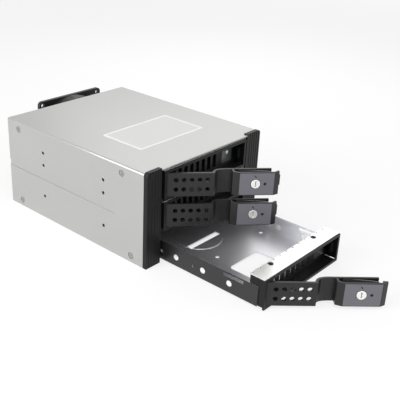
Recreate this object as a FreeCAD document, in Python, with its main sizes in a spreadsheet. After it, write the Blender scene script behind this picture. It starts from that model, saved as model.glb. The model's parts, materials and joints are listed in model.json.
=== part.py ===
import FreeCAD, Part
import math
import os
import re
import Sketcher

# A hot swap drive cage for two 5.25 inch bays, with three trays for 3.5 inch drives.
# Millimetres. +X is to the right seen from the front, +Y to the rear, +Z up.
# The origin is the middle of the base plate's underside. The top and middle trays are
# closed, the bottom one is drawn out, and all three levers stand open.

doc = FreeCAD.newDocument("DriveCage")
sizes = doc.addObject("Spreadsheet::Sheet", "Sizes")

# Driving dimensions: alias, value, what it measures.
DRIVING = [
    ("cage_width", 146.0, "outside width of the steel cover"),
    ("cage_height", 84.6, "outside height of the steel cover, two 42.3 mm bay units"),
    ("cage_depth", 181.0, "front of the posts to the back of the rear panel"),
    ("cover_gauge", 0.8, "sheet thickness of the cover"),
    ("cover_bend", 1.6, "outside radius of the cover's two long bends"),
    ("base_gauge", 0.8, "sheet thickness of the base plate"),
    ("base_flange", 11.0, "height of the base plate's side flanges"),
    ("wall_gauge", 0.8, "sheet thickness of the inner side walls"),
    ("wall_face", 54.2, "centre line to the tray side of an inner wall"),
    ("wall_start", 6.0, "front of the posts to the front of an inner wall"),
    ("lip_height", 11.0, "height of an inner wall's screw lips"),
    ("post_depth", 4.0, "thickness of the front posts"),
    ("post_height", 85.6, "height of the front posts"),
    ("post_left_edge", 56.5, "centre line to the inner edge of the left post"),
    ("post_right_edge", 53.8, "centre line to the inner edge of the right post"),
    ("post_corner", 3.0, "radius of a post's outer top corner"),
    ("post_groove", 0.9, "width of a fine groove down a post"),
    ("post_groove_pitch", 3.1, "spacing of the fine grooves"),
    ("post_groove_depth", 0.3, "depth of a fine groove"),
    ("bay_unit", 42.3, "height of one 5.25 inch bay unit"),
    ("mount_first", 51.0, "front of the posts to the front column of side holes"),
    ("mount_spacing", 79.25, "spacing of the two columns of side holes"),
    ("mount_low", 10.0, "lower side hole above its bay unit's floor"),
    ("mount_high", 21.84, "upper side hole above its bay unit's floor"),
    ("mount_radius", 1.5, "radius of a side mounting hole, M3"),
    ("groove_low", 38.0, "underside of the pressed groove along each side"),
    ("groove_height", 5.6, "height of the pressed groove"),
    ("groove_start", 35.0, "front of the posts to the groove's rounded end"),
    ("groove_depth", 0.5, "depth of the pressed groove"),
    ("screw_radius", 1.5, "radius of an M3 screw's shank"),
    ("screw_head", 2.7, "radius of a countersunk head"),
    ("screw_length", 5.0, "length of a cover screw"),
    ("screw_top", 77.0, "height of the upper cover screws"),
    ("screw_bottom", 6.0, "height of the lower cover screws"),
    ("screw_rear", 165.0, "front of the posts to the rear cover screws"),
    ("screw_front_top", 29.0, "front of the posts to the upper front cover screws"),
    ("screw_front_low", 18.0, "front of the posts to the lower front cover screws"),
    ("tray_first", 0.3, "height of the bottom tray's bay floor"),
    ("tray_pitch", 27.5, "spacing of the trays"),
    ("tray_drawn", 103.5, "how far the bottom tray is drawn out"),
    ("bezel_half", 53.0, "half the width of a tray's bezel"),
    ("bezel_low", 0.2, "underside of a bezel above its bay floor"),
    ("bezel_high", 26.3, "top of a bezel above its bay floor"),
    ("bezel_depth", 15.0, "depth of a bezel"),
    ("bezel_rim", 2.4, "thickness of the bezel's top, bottom and right rims"),
    ("bezel_left", 50.2, "centre line to the inside of the bezel's left rim"),
    ("recess_depth", 10.5, "depth of the bezel's recess down to its grille"),
    ("grille_gauge", 2.5, "thickness of the grille"),
    ("slot_first", -38.5, "first grille slot, left or right of the centre"),
    ("slot_pitch", 7.5, "spacing of the grille slots"),
    ("slot_width", 4.2, "width of a grille slot"),
    ("slot_low", 5.0, "lower end of a grille slot"),
    ("slot_high", 21.4, "upper end of a grille slot"),
    ("pipe_left", 31.5, "left edge of the light pipe"),
    ("pipe_right", 45.5, "right edge of the light pipe"),
    ("pipe_low", 5.5, "underside of the light pipe"),
    ("pipe_high", 17.5, "top of the light pipe"),
    ("pipe_proud", 0.3, "how far the light pipe stands out of the grille"),
    ("frame_lip", 1.2, "thickness of the bezel's front lip"),
    ("lip_reach", 2.6, "how far the lip hangs below the bezel's lower corners"),
    ("lip_inset", 3.0, "width of the cut under each lower corner"),
    ("side_step", 4.2, "bezel front to the step in its sides"),
    ("wing_start", 6.5, "bezel front to the front of the pan's walls"),
    ("shield_gauge", 0.3, "thickness of the shield strip"),
    ("shield_back", 15.6, "bezel front to the shield strip's toothed back edge"),
    ("tooth_pitch", 8.8, "spacing of the strip's spring teeth"),
    ("pan_half", 52.6, "half the outside width of a tray pan"),
    ("pan_gauge", 0.7, "sheet thickness of a tray pan"),
    ("pan_low", 1.1, "underside of a tray pan above its bay floor"),
    ("pan_high", 18.5, "top of a tray pan's walls above its bay floor"),
    ("pan_end", 166.0, "bezel front to the back of the pan"),
    ("window_left", -24.0, "left edge of the pan's window"),
    ("window_right", 14.5, "right edge of the pan's window"),
    ("window_back", 56.0, "bezel front to the back of the window"),
    ("disc_across", -3.5, "pan's raised disc, left or right of the centre"),
    ("disc_along", 107.0, "bezel front to the middle of the raised disc"),
    ("disc_radius", 21.0, "radius of the raised disc"),
    ("disc_rise", 0.4, "height that the disc is pressed up"),
    ("drive_end", 164.0, "bezel front to the connector end of a drive"),
    ("small_drive_across", 61.72, "spacing of a 2.5 inch drive's screws across"),
    ("small_drive_centre", 13.0, "centre line of a 2.5 inch drive"),
    ("small_drive_near", 14.0, "connector end to a 2.5 inch drive's first screws"),
    ("small_drive_along", 76.6, "spacing of a 2.5 inch drive's screws along"),
    ("pivot_across", 46.8, "centre line to the lever's hinge pin"),
    ("pivot_depth", 3.3, "bezel front to the hinge pin"),
    ("pin_radius", 1.25, "radius of the hinge pin"),
    ("running_fit", 0.05, "radial clearance of a shaft that turns"),
    ("slide_gap", 0.2, "clearance of flat faces that slide or swing past"),
    ("knuckle_radius", 3.2, "radius of the lever's hinge knuckle"),
    ("lever_low", 3.0, "underside of a lever above its bay floor"),
    ("lever_height", 20.4, "height of a lever"),
    ("lever_depth", 9.5, "front to back of a lever"),
    ("lever_gauge", 2.2, "thickness of the lever's front plate"),
    ("lever_back", 1.8, "thickness of the lever's back wall"),
    ("plate_end", 38.1, "hinge pin to the end of the perforated plate"),
    ("plate_hole", 1.9, "radius of a hole in the plate"),
    ("hole_first", 6.9, "hinge pin to the first column of holes"),
    ("hole_pitch", 6.4, "spacing of the columns of holes"),
    ("hole_rows", 8.3, "spacing of the two rows of holes"),
    ("scoop_end", 48.5, "hinge pin to the foot of the finger scoop's curve"),
    ("back_end", 86.0, "hinge pin to the end of the lever's back wall"),
    ("block_start", 53.0, "hinge pin to the near side of the latch block"),
    ("face_start", 58.0, "hinge pin to the near edge of the latch's flat face"),
    ("face_end", 87.6, "hinge pin to the far edge of the latch's flat face"),
    ("block_end", 91.6, "hinge pin to the far side of the latch block"),
    ("face_slope", 2.2, "how far the latch face falls back at its two sides"),
    ("block_wall", 1.8, "wall thickness of the latch block"),
    ("latch_travel", 2.4, "travel of the latch block"),
    ("hook_reach", 2.2, "how far the latch hook stands out"),
    ("lock_across", 71.8, "hinge pin to the lock"),
    ("lock_radius", 3.8, "radius of the lock barrel"),
    ("lock_proud", 0.5, "how far the barrel stands out of the latch face"),
    ("lock_back", 6.0, "latch face to the back of the barrel"),
    ("open_closed_tray", 42.0, "opening angle of the two upper levers, in degrees"),
    ("open_drawn_tray", 46.0, "opening angle of the bottom lever, in degrees"),
    ("board_front", 168.0, "front of the posts to the backplane's front face"),
    ("board_gauge", 1.6, "thickness of the backplane"),
    ("plug_across", 20.7, "centre line to the middle of a drive connector"),
    ("plug_width", 42.0, "width of a drive connector"),
    ("plug_depth", 7.5, "length of a drive connector"),
    ("fan_size", 80.0, "side of the fan's square frame"),
    ("fan_depth", 25.0, "depth of the fan"),
    ("fan_across", 20.0, "centre line to the fan's axis"),
    ("fan_axis", 41.75, "height of the fan's axis"),
    ("fan_flange", 3.6, "thickness of a fan frame's two flanges"),
    ("fan_holes", 71.5, "spacing of the fan's screw holes"),
    ("fan_hole", 2.15, "radius of a fan screw hole"),
    ("fan_bore", 38.0, "radius of the fan's duct"),
    ("fan_shell", 39.6, "outside radius of the fan's duct"),
    ("hub_radius", 16.0, "radius of the rotor's hub"),
    ("stator_radius", 15.0, "radius of the fan's bearing plate"),
    ("shaft_radius", 1.5, "radius of the rotor's shaft"),
    ("head_height", 0.6, "height of a cover screw's low head"),
    ("pan_head", 1.8, "height of a fan screw's head"),
    ("base_start", 15.6, "front of the posts to the front of the base plate"),
    ("rail_start", 16.0, "front of the posts to the front of the guide rails"),
    ("rail_end", 160.0, "front of the posts to the back of the guide rails"),
    ("rail_ledge", 0.5, "thickness of the ledge a tray rests on"),
    ("rail_ledge_edge", 51.2, "centre line to the edge of the ledge"),
    ("rail_back_edge", 53.1, "centre line to the rail's back, beside the tray"),
    ("rail_head_gap", 0.4, "clearance over a tray's wall"),
    ("rail_cap", 1.4, "thickness of the rail's cap over a tray's wall"),
    ("rail_cap_edge", 51.8, "centre line to the edge of the cap"),
    ("brace_drop", 0.2, "gap between the cover and the brace"),
    ("brace_gauge", 0.6, "sheet thickness of the brace"),
    ("brace_setback", 0.5, "front of the posts to the front of the brace"),
    ("brace_depth", 14.0, "front of the posts to the back of the brace"),
    ("post_groove_first", 57.6, "centre line to the first fine groove"),
    ("panel_gauge", 1.0, "sheet thickness of the rear panel"),
    ("panel_foot", 9.0, "length of the rear panel's foot flange"),
    ("data_across", -58.0, "centre line to the middle of the data sockets"),
    ("data_width", 15.0, "width of a data socket"),
    ("socket_height", 6.4, "height of a data socket"),
    ("data_pitch", 22.4, "spacing of the data sockets"),
    ("socket_low", 20.0, "height of the lowest sockets"),
    ("power_across", -34.0, "centre line to the middle of the power sockets"),
    ("power_width", 23.0, "width of a power socket"),
    ("power_height", 8.0, "height of a power socket"),
    ("power_low", 32.75, "height of the lower power socket"),
    ("socket_wall", 1.2, "wall thickness of a socket"),
    ("socket_mouth", 6.0, "depth of a socket's mouth"),
    ("socket_proud", 0.6, "how far a socket stands out of the rear panel"),
    ("board_left", 67.0, "centre line to the left edge of the backplane"),
    ("board_right", 54.0, "centre line to the right edge of the backplane"),
    ("board_window", 44.0, "half the width of an air window"),
    ("board_window_low", 12.5, "underside of the lowest air window"),
    ("board_window_high", 25.0, "top of the lowest air window"),
    ("plug_low", 2.8, "underside of a drive connector above its bay floor"),
    ("plug_height", 6.6, "height of a drive connector"),
    ("tongue_low", 2.8, "connector's underside to its contact tongue"),
    ("fan_corner", 4.0, "corner radius of the fan's flanges"),
    ("spider_depth", 3.0, "thickness of the fan's spider"),
    ("spider_arm", 4.0, "width of a spider arm"),
    ("rotor_front", 1.5, "rear panel to the front of the rotor"),
    ("rotor_gap", 1.0, "clearance between the rotor and the spider"),
    ("blade_gauge", 1.4, "thickness of a blade"),
    ("blade_tip", 35.6, "radius at the middle of a blade's tip"),
    ("root_chord", 15.0, "width of a blade at its root"),
    ("tip_chord", 24.0, "width of a blade at its tip"),
    ("blade_lean", 33.0, "slant of the blades, in degrees"),
    ("bezel_edge", 0.7, "chamfer of the bezel's four corners"),
    ("tail_drop", 3.2, "how far the latch's far side drops towards its tail"),
    ("catch_across", 47.4, "centre line to the latch's catch"),
    ("catch_front", 4.0, "bezel front to the catch"),
    ("catch_low", 8.0, "underside of the catch"),
    ("catch_high", 18.0, "top of the catch"),
    ("shield_front", 1.0, "bezel front to the front of the shield strip"),
    ("tooth_first", -50.0, "first gap between two teeth"),
    ("tooth_notch", 1.6, "width and depth of a gap between two teeth"),
    ("shield_hole_across", 30.0, "centre line to the shield strip's screw holes"),
    ("shield_hole_along", 12.2, "bezel front to the shield strip's screw holes"),
    ("ear_width", 8.0, "width of the pan's front ears"),
    ("ear_low", 4.0, "underside of the pan's front ears"),
    ("ear_screw_across", 47.0, "centre line to the ear screws"),
    ("ear_screw_low", 7.5, "height of the lower ear screws"),
    ("ear_screw_high", 15.0, "height of the upper ear screws"),
    ("ear_head", 0.9, "height of an ear screw's head"),
    ("ear_head_radius", 2.4, "radius of an ear screw's head"),
    ("window_corner", 2.5, "size of the cut corners of the pan's window"),
    ("disc_slot_near", 97.4, "bezel front to the slot through the disc"),
    ("disc_slot_width", 5.4, "width of the slot through the disc"),
    ("side_screw_near", 28.5, "connector end to a 3.5 inch drive's first side screws"),
    ("side_screw_span", 101.6, "spacing of a 3.5 inch drive's side screws"),
    ("wall_hole_up", 9.0, "height of the holes in the pan's walls"),
    ("wall_hole_large", 2.6, "radius of the large holes in the pan's walls"),
    ("wall_hole_second", 60.7, "bezel front to the second large hole"),
    ("wall_hole_third", 89.3, "bezel front to the third large hole"),
    ("wall_hole_small_near", 70.3, "bezel front to the nearer small hole"),
    ("wall_hole_small_far", 104.9, "bezel front to the farther small hole"),
    ("wall_slot_start", 20.3, "bezel front to the slot in the pan's wall"),
    ("wall_slot_low", 14.2, "underside of the slot in the pan's wall"),
    ("wall_slot_length", 19.3, "length of the slot in the pan's wall"),
    ("wall_slot_height", 3.0, "height of the slot in the pan's wall"),
    ("shelf_gauge", 1.4, "thickness of the lever's shelf under the latch block"),
    ("boss_length", 3.2, "length of the lock's boss behind the latch face"),
    ("lamp_window_across", 79.6, "hinge pin to the lamp window in the latch face"),
    ("lamp_window", 1.2, "radius of the lamp window"),
    ("hook_gauge", 1.6, "thickness of the latch hook"),
    ("hook_low", 5.6, "latch block's underside to the underside of its hook"),
    ("spring_low", 16.8, "lever's underside to the leaf spring"),
    ("spring_width", 3.0, "height of the leaf spring's strip"),
    ("spring_gauge", 0.4, "thickness of the leaf spring"),
    ("spring_start", 58.5, "hinge pin to the foot of the leaf spring"),
    ("spring_end", 85.0, "hinge pin to the free end of the leaf spring"),
    ("spring_foot", 3.5, "length of the leaf spring's foot"),
    ("spring_bow", 4.2, "how far the leaf spring's free end stands off the back wall"),
    ("cam_gauge", 1.0, "thickness of the lock's cam"),
    ("cam_width", 3.0, "width of the lock's cam"),
    ("keyway_depth", 3.0, "depth of the keyway"),
    ("keyway_width", 1.0, "width of the keyway"),
    ("keyway_length", 5.0, "length of the keyway"),
]
TRAY_COUNT = 3
POST_GROOVES = 5
GRILLE_SLOTS = 9
HOLE_COLUMNS = 5
SHIELD_GAPS = 12
SPIDER_ARMS = 4
BLADES = 7
for row, (alias, number, meaning) in enumerate(DRIVING, start=1):
    sizes.set(f"A{row}", meaning)
    sizes.set(f"B{row}", str(number))
    sizes.setAlias(f"B{row}", alias)
doc.recompute()

# Each view plane of a body: the plane's role in the body's origin.
PLANES = {"top": "XY_Plane", "front": "XZ_Plane", "side": "YZ_Plane"}
features = []


def bound(text):
    """Turns 'cage_width / 2' into an expression on the sheet's cells."""
    return re.sub(r"\b[a-z]\w*", lambda word: "Sizes." + word.group(0), str(text))


def number_of(text):
    """Today's value of an expression on the sheet's cells."""
    return float(sizes.evalExpression(bound(text)))


def origin_of(body, role):
    """The body's own origin plane or axis with this role."""
    return next(item for item in body.Origin.OriginFeatures if item.Role == role)


def new_body(name, place=("0", "0", "0"), turn=None):
    """An empty body, placed by three expressions and turned about +Z by a fourth."""
    body = doc.addObject("PartDesign::Body", name)
    body.Label = name
    body.AllowCompound = True
    if turn is not None:
        body.Placement.Rotation = FreeCAD.Rotation(FreeCAD.Vector(0, 0, 1), -1)
        body.setExpression("Placement.Rotation.Angle", bound(turn))
    for axis, text in zip("xyz", place):
        body.setExpression(f"Placement.Base.{axis}", bound(text))
    return body


def polygon(*corners):
    """A closed outline through corners, each a pair of expressions."""
    return ("polygon", corners)


def rectangle(left, low, right, high):
    """An upright rectangle between two corners."""
    return polygon((left, low), (right, low), (right, high), (left, high))


def circle(across, up, radius):
    """A circle by its middle and radius."""
    return ("circle", across, up, radius)


def slot(left, low, right, high):
    """A level slot with half-round ends, between two corners of its box."""
    return ("slot", left, low, right, high)


def many_sided(across, up, radius, sides=8):
    """A regular outline drawn about a circle: a small hole or head with few faces."""
    reach = 1 / math.cos(math.pi / sides)
    turns = [math.pi * (2 * step + 1) / sides for step in range(sides)]
    return polygon(*[(f"{across} + ({radius}) * ({reach * math.cos(turn):.5f})",
                      f"{up} + ({radius}) * ({reach * math.sin(turn):.5f})")
                     for turn in turns])


def cut_cornered(left, low, right, high, cut):
    """An upright rectangle whose corners are cut off."""
    return polygon(
        (f"{left} + {cut}", low), (f"{right} - {cut}", low), (right, f"{low} + {cut}"),
        (right, f"{high} - {cut}"), (f"{right} - {cut}", high), (f"{left} + {cut}", high),
        (left, f"{high} - {cut}"), (left, f"{low} + {cut}"))


def hold(sketch, geometry, point, across, up):
    """Holds one point of a sketch at two expressions, measured from its origin."""
    for kind, text in (("DistanceX", across), ("DistanceY", up)):
        measure = Sketcher.Constraint(kind, -1, 1, geometry, point, number_of(text))
        index = sketch.addConstraint(measure)
        sketch.setExpression(f"Constraints[{index}]", bound(text))


def draw_polygon(sketch, corners):
    first = sketch.GeometryCount
    points = [FreeCAD.Vector(number_of(x), number_of(y), 0) for x, y in corners]
    for start, end in zip(points, points[1:] + points[:1]):
        sketch.addGeometry(Part.LineSegment(start, end))
    count = len(corners)
    for step, (across, up) in enumerate(corners):
        after = first + (step + 1) % count
        sketch.addConstraint(Sketcher.Constraint("Coincident", first + step, 2, after, 1))
        hold(sketch, first + step, 1, across, up)


def draw_circle(sketch, across, up, radius):
    middle = FreeCAD.Vector(number_of(across), number_of(up), 0)
    ring = sketch.addGeometry(Part.Circle(middle, FreeCAD.Vector(0, 0, 1), number_of(radius)))
    hold(sketch, ring, 3, across, up)
    index = sketch.addConstraint(Sketcher.Constraint("Radius", ring, number_of(radius)))
    sketch.setExpression(f"Constraints[{index}]", bound(radius))


def draw_slot(sketch, left, low, right, high):
    radius = f"(({high}) - ({low})) / 2"
    level = f"(({high}) + ({low})) / 2"
    ends = (f"({left}) + {radius}", f"({right}) - {radius}")
    size = number_of(radius)
    up = FreeCAD.Vector(0, size, 0)
    a, b = (FreeCAD.Vector(number_of(end), number_of(level), 0) for end in ends)
    out = FreeCAD.Vector(size, 0, 0)
    lower = sketch.addGeometry(Part.LineSegment(a - up, b - up))
    right_end = sketch.addGeometry(Part.Arc(b - up, b + out, b + up))
    upper = sketch.addGeometry(Part.LineSegment(b + up, a + up))
    left_end = sketch.addGeometry(Part.Arc(a + up, a - out, a - up))
    for line, arc, line_end, arc_end in (
        (lower, right_end, 2, 1),
        (upper, right_end, 1, 2),
        (upper, left_end, 2, 1),
        (lower, left_end, 1, 2),
    ):
        sketch.addConstraint(Sketcher.Constraint("Tangent", line, line_end, arc, arc_end))
    hold(sketch, right_end, 3, ends[1], level)
    middle = number_of(ends[0])
    index = sketch.addConstraint(Sketcher.Constraint("DistanceX", -1, 1, left_end, 3, middle))
    sketch.setExpression(f"Constraints[{index}]", bound(ends[0]))
    index = sketch.addConstraint(Sketcher.Constraint("Radius", right_end, size))
    sketch.setExpression(f"Constraints[{index}]", bound(radius))
    sketch.addConstraint(Sketcher.Constraint("Horizontal", lower))


DRAW = {"polygon": lambda sketch, *given: draw_polygon(sketch, given[0]),
        "circle": draw_circle, "slot": draw_slot}


def new_sketch(body, plane, level, outlines):
    """A sketch of closed outlines, parallel to a view plane at this level along its axis."""
    sketch = body.newObject("Sketcher::SketchObject", f"{body.Name}_sketch")
    sketch.AttachmentSupport = (origin_of(body, PLANES[plane]), "")
    sketch.MapMode = "FlatFace"
    towards = "-" if plane == "front" else ""
    sketch.setExpression("AttachmentOffset.Base.z", bound(f"{towards}({level})"))
    for kind, *given in outlines:
        DRAW[kind](sketch, *given)
    return sketch


def pad(body, plane, start, length, *outlines):
    """Adds the outlines from start to start + length along the plane's axis."""
    level = f"({start}) + ({length})" if plane == "front" else start
    feature = body.newObject("PartDesign::Pad", f"{body.Name}_pad")
    feature.Profile = new_sketch(body, plane, level, outlines)
    feature.setExpression("Length", bound(length))
    body.Tip = feature
    features.append((feature, +1))
    return feature


def pocket(body, plane, start, length, *outlines):
    """Cuts the outlines away from start to start + length along the plane's axis."""
    level = start if plane == "front" else f"({start}) + ({length})"
    feature = body.newObject("PartDesign::Pocket", f"{body.Name}_pocket")
    feature.Profile = new_sketch(body, plane, level, outlines)
    feature.setExpression("Length", bound(length))
    body.Tip = feature
    features.append((feature, -1))
    return feature


def repeat(body, feature, axis, spacing, count, backwards=False):
    """Repeats a feature in a row along one of the body's axes."""
    row = body.newObject("PartDesign::LinearPattern", f"{body.Name}_row")
    row.Originals = [feature]
    row.Direction = (origin_of(body, f"{axis}_Axis"), [""])
    row.Reversed = backwards
    row.Occurrences = count
    row.setExpression("Length", bound(f"({spacing}) * {count - 1}"))
    body.Tip = row
    return row


def edges_of(feature, test):
    """Names of the feature's edges that pass a test, after a recompute."""
    doc.recompute()
    edges = enumerate(feature.Shape.Edges, start=1)
    return [f"Edge{index}" for index, edge in edges if test(edge)]


def round_edges(body, radius, test):
    """Rounds the edges of the body's last feature that pass a test."""
    base = body.Tip
    names = edges_of(base, test)
    fillet = body.newObject("PartDesign::Fillet", f"{body.Name}_round")
    fillet.Base = (base, names)
    fillet.setExpression("Radius", bound(radius))
    body.Tip = fillet
    return fillet


def runs_along(edge, axis, near=None):
    """True for a straight edge along an axis whose middle lies near a point."""
    if edge.Curve.TypeId != "Part::GeomLine":
        return False
    direction = edge.tangentAt(edge.FirstParameter)
    if abs(getattr(direction, axis)) < 0.999:
        return False
    middle = edge.CenterOfMass
    return near is None or all(abs(getattr(middle, key) - at) < 0.05 for key, at in near.items())


# Levels along Y that the cage's pieces share.
FRONT = "(0 - cage_depth / 2)"
REAR = "(cage_depth / 2)"
INSIDE = "(cage_width / 2 - cover_gauge)"
CEILING = "(cage_height - cover_gauge)"


def back_from_front(distance):
    """The level this far behind the front of the posts."""
    return f"({FRONT} + {distance})"


def mirrored(side, text):
    """An expression on the right side of the cage, or its mirror image on the left."""
    return text if side > 0 else f"(0 - ({text}))"


def span(side, near, far):
    """Lower and upper ends along X of a stretch given by its distances from the centre."""
    ends = (mirrored(side, near), mirrored(side, far))
    return ends if side > 0 else ends[::-1]


# ---------------------------------------------------------------- the cage

def make_outer_cover():
    """Steel cover: top and two sides from one bent sheet, with grooves and screw holes."""
    body = new_body("outer_cover")
    half = "cage_width / 2"
    start = back_from_front("post_depth")
    length = "cage_depth - post_depth"
    outer = (f"0 - {half}", half, f"0 - {INSIDE}", INSIDE)
    pad(body, "front", start, length, polygon(
        (outer[0], "0"), (outer[2], "0"), (outer[2], CEILING), (outer[3], CEILING),
        (outer[3], "0"), (outer[1], "0"), (outer[1], "cage_height"),
        (outer[0], "cage_height")))
    left, right = number_of(outer[0]), number_of(outer[1])
    top = number_of("cage_height")
    round_edges(body, "cover_bend", lambda edge: any(
        runs_along(edge, "y", {"x": x, "z": top}) for x in (left, right)))
    pad(body, "front", FRONT, "post_depth", rectangle(
        "0 - post_left_edge", CEILING, "post_right_edge", "cage_height"))
    for side in (-1, 1):
        inner = span(side, f"{INSIDE} - groove_depth", INSIDE)
        face = span(side, f"{half} - groove_depth", half)
        through = span(side, INSIDE, half)
        begin = back_from_front("groove_start")
        top_of_groove = "groove_low + groove_height"
        pad(body, "side", inner[0], "groove_depth", cut_cornered(
            f"{begin} - cover_gauge", "groove_low - cover_gauge",
            f"{REAR} - panel_gauge - slide_gap", f"{top_of_groove} + cover_gauge",
            "groove_height / 3"))
        pocket(body, "side", face[0], "groove_depth", slot(
            begin, "groove_low", f"{REAR} + groove_height", top_of_groove))
        holes = []
        for along in ("mount_first", "mount_first + mount_spacing"):
            for up in ("mount_high", "bay_unit + mount_low", "bay_unit + mount_high"):
                holes.append(circle(back_from_front(along), up, "mount_radius"))
        for along, up in cover_screw_places():
            holes.append(many_sided(back_from_front(along), up, "screw_radius", 6))
        pocket(body, "side", through[0], "cover_gauge", *holes)
        heads = [many_sided(back_from_front(along), up, "screw_head + slide_gap", 12)
                 for along, up in cover_screw_places()]
        seat = span(side, f"{half} - head_height", half)
        pocket(body, "side", seat[0], "head_height", *heads)
    return body


def cover_screw_places():
    """Depth and height of the four screws on each side."""
    return (("screw_rear", "screw_top"), ("screw_rear", "screw_bottom"),
            ("screw_front_top", "screw_top"), ("screw_front_low", "screw_bottom"))


def make_base_plate():
    """Steel base: a flat plate with a flange up each side, behind the bezels."""
    body = new_body("base_plate")
    start = back_from_front("base_start")
    outline = polygon(
        (f"0 - {INSIDE}", "0"), (INSIDE, "0"), (INSIDE, "base_flange"),
        (f"{INSIDE} - base_gauge", "base_flange"), (f"{INSIDE} - base_gauge", "base_gauge"),
        (f"0 - {INSIDE} + base_gauge", "base_gauge"),
        (f"0 - {INSIDE} + base_gauge", "base_flange"), (f"0 - {INSIDE}", "base_flange"))
    pad(body, "front", start, "cage_depth - base_start - panel_gauge", outline)
    for side in (-1, 1):
        flange = span(side, f"{INSIDE} - base_gauge", INSIDE)
        holes = [many_sided(back_from_front(along), up, "screw_radius", 6)
                 for along, up in cover_screw_places() if up == "screw_bottom"]
        pocket(body, "side", flange[0], "base_gauge", *holes)
    return body


def make_side_wall(side, name):
    """Steel channel beside the trays: web, flanges out to the cover, and screw lips."""
    body = new_body(name)
    web = ("wall_face", "wall_face + wall_gauge")
    low_lip = f"{INSIDE} - base_gauge"
    corners = [
        (web[0], "base_gauge"), (low_lip, "base_gauge"), (low_lip, "base_gauge + lip_height"),
        (f"{low_lip} - wall_gauge", "base_gauge + lip_height"),
        (f"{low_lip} - wall_gauge", "base_gauge + wall_gauge"),
        (web[1], "base_gauge + wall_gauge"), (web[1], f"{CEILING} - wall_gauge"),
        (f"{INSIDE} - wall_gauge", f"{CEILING} - wall_gauge"),
        (f"{INSIDE} - wall_gauge", f"{CEILING} - lip_height"),
        (INSIDE, f"{CEILING} - lip_height"), (INSIDE, CEILING), (web[0], CEILING)]
    outline = [(mirrored(side, across), up) for across, up in corners]
    pad(body, "front", back_from_front("wall_start"), "board_front - wall_start",
        polygon(*outline))
    for along, up in cover_screw_places():
        far = INSIDE if up == "screw_top" else low_lip
        lip = span(side, f"{far} - wall_gauge", far)
        pocket(body, "side", lip[0], "wall_gauge",
               many_sided(back_from_front(along), up, "screw_radius", 6))
    return body


def make_guide_rails(side, name):
    """Three moulded channels on an inner wall; each tray's edge slides in one."""
    body = new_body(name)
    back = "wall_face"
    ledge = "rail_ledge_edge"
    corners = [
        (back, "base_gauge"), (ledge, "base_gauge"), (ledge, "base_gauge + rail_ledge"),
        ("rail_back_edge", "base_gauge + rail_ledge"),
        ("rail_back_edge", "tray_first + pan_high + rail_head_gap"),
        ("rail_cap_edge", "tray_first + pan_high + rail_head_gap"),
        ("rail_cap_edge", "tray_first + pan_high + rail_head_gap + rail_cap"),
        (back, "tray_first + pan_high + rail_head_gap + rail_cap")]
    outline = [(mirrored(side, across), up) for across, up in corners]
    rail = pad(body, "front", back_from_front("rail_start"), "rail_end - rail_start",
               polygon(*outline))
    repeat(body, rail, "Z", "tray_pitch", TRAY_COUNT)
    return body


def make_top_brace():
    """Steel strip across the front, under the cover, that ties the two inner walls."""
    body = new_body("top_brace")
    pad(body, "top", f"{CEILING} - brace_drop - brace_gauge", "brace_gauge", rectangle(
        "0 - wall_face", back_from_front("brace_setback"),
        "post_right_edge", back_from_front("brace_depth")))
    return body


def make_front_post(side, name, inner_edge):
    """Moulded post beside the trays: fine grooves in its face, a plug behind it."""
    body = new_body(name)
    face = span(side, inner_edge, "cage_width / 2")
    pad(body, "front", FRONT, "post_depth", rectangle(face[0], "0", face[1], "post_height"))
    outer = number_of(mirrored(side, "cage_width / 2"))
    top = number_of("post_height")
    round_edges(body, "post_corner", lambda edge: runs_along(edge, "y", {"x": outer, "z": top}))
    inner = span(side, "wall_face + wall_gauge + slide_gap", f"{INSIDE} - slide_gap")
    pad(body, "front", back_from_front("post_depth"), "wall_start - post_depth - slide_gap",
        rectangle(inner[0], "base_gauge", inner[1], f"{CEILING} - slide_gap"))
    groove = span(side, "post_groove_first", "post_groove_first + post_groove")
    cut = pocket(body, "front", FRONT, "post_groove_depth",
                 rectangle(groove[0], "0", groove[1], "post_height"))
    repeat(body, cut, "X", "post_groove_pitch", POST_GROOVES, side < 0)
    return body


def make_rear_panel():
    """Steel rear panel with the fan opening, the socket openings and a foot flange."""
    body = new_body("rear_panel")
    start = f"{REAR} - panel_gauge"
    pad(body, "front", start, "panel_gauge",
        rectangle(f"0 - {INSIDE}", "0", INSIDE, CEILING))
    pad(body, "top", "base_gauge", "panel_gauge", rectangle(
        f"0 - {INSIDE} + lip_height", f"{start} - panel_foot",
        f"{INSIDE} - lip_height", start))
    openings = [circle("fan_across", "fan_axis", "fan_bore")]
    for across in ("fan_across - fan_holes / 2", "fan_across + fan_holes / 2"):
        for up in ("fan_axis - fan_holes / 2", "fan_axis + fan_holes / 2"):
            openings.append(many_sided(across, up, "fan_hole"))
    for across, up, width, height in socket_places():
        openings.append(rectangle(
            f"{across} - {width} / 2 - slide_gap", f"{up} - {height} / 2 - slide_gap",
            f"{across} + {width} / 2 + slide_gap", f"{up} + {height} / 2 + slide_gap"))
    pocket(body, "front", start, "panel_gauge", *openings)
    return body


def socket_places():
    """Middle, width and height of each socket on the backplane's rear."""
    data = [("data_across", f"socket_low + data_pitch * {tray}", "data_width",
             "socket_height") for tray in range(TRAY_COUNT)]
    power = [("power_across", f"power_low + tray_pitch * {place}", "power_width",
              "power_height") for place in (0, 1)]
    return data + power


def make_backplane():
    """Printed circuit board behind the trays, with three air windows."""
    body = new_body("backplane")
    pad(body, "front", back_from_front("board_front"), "board_gauge", rectangle(
        "0 - board_left", "base_gauge", "board_right", f"{CEILING} - board_gauge"))
    window = pocket(body, "front", back_from_front("board_front"), "board_gauge", rectangle(
        "0 - board_window", "board_window_low", "board_window", "board_window_high"))
    repeat(body, window, "Z", "tray_pitch", TRAY_COUNT)
    return body


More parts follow.
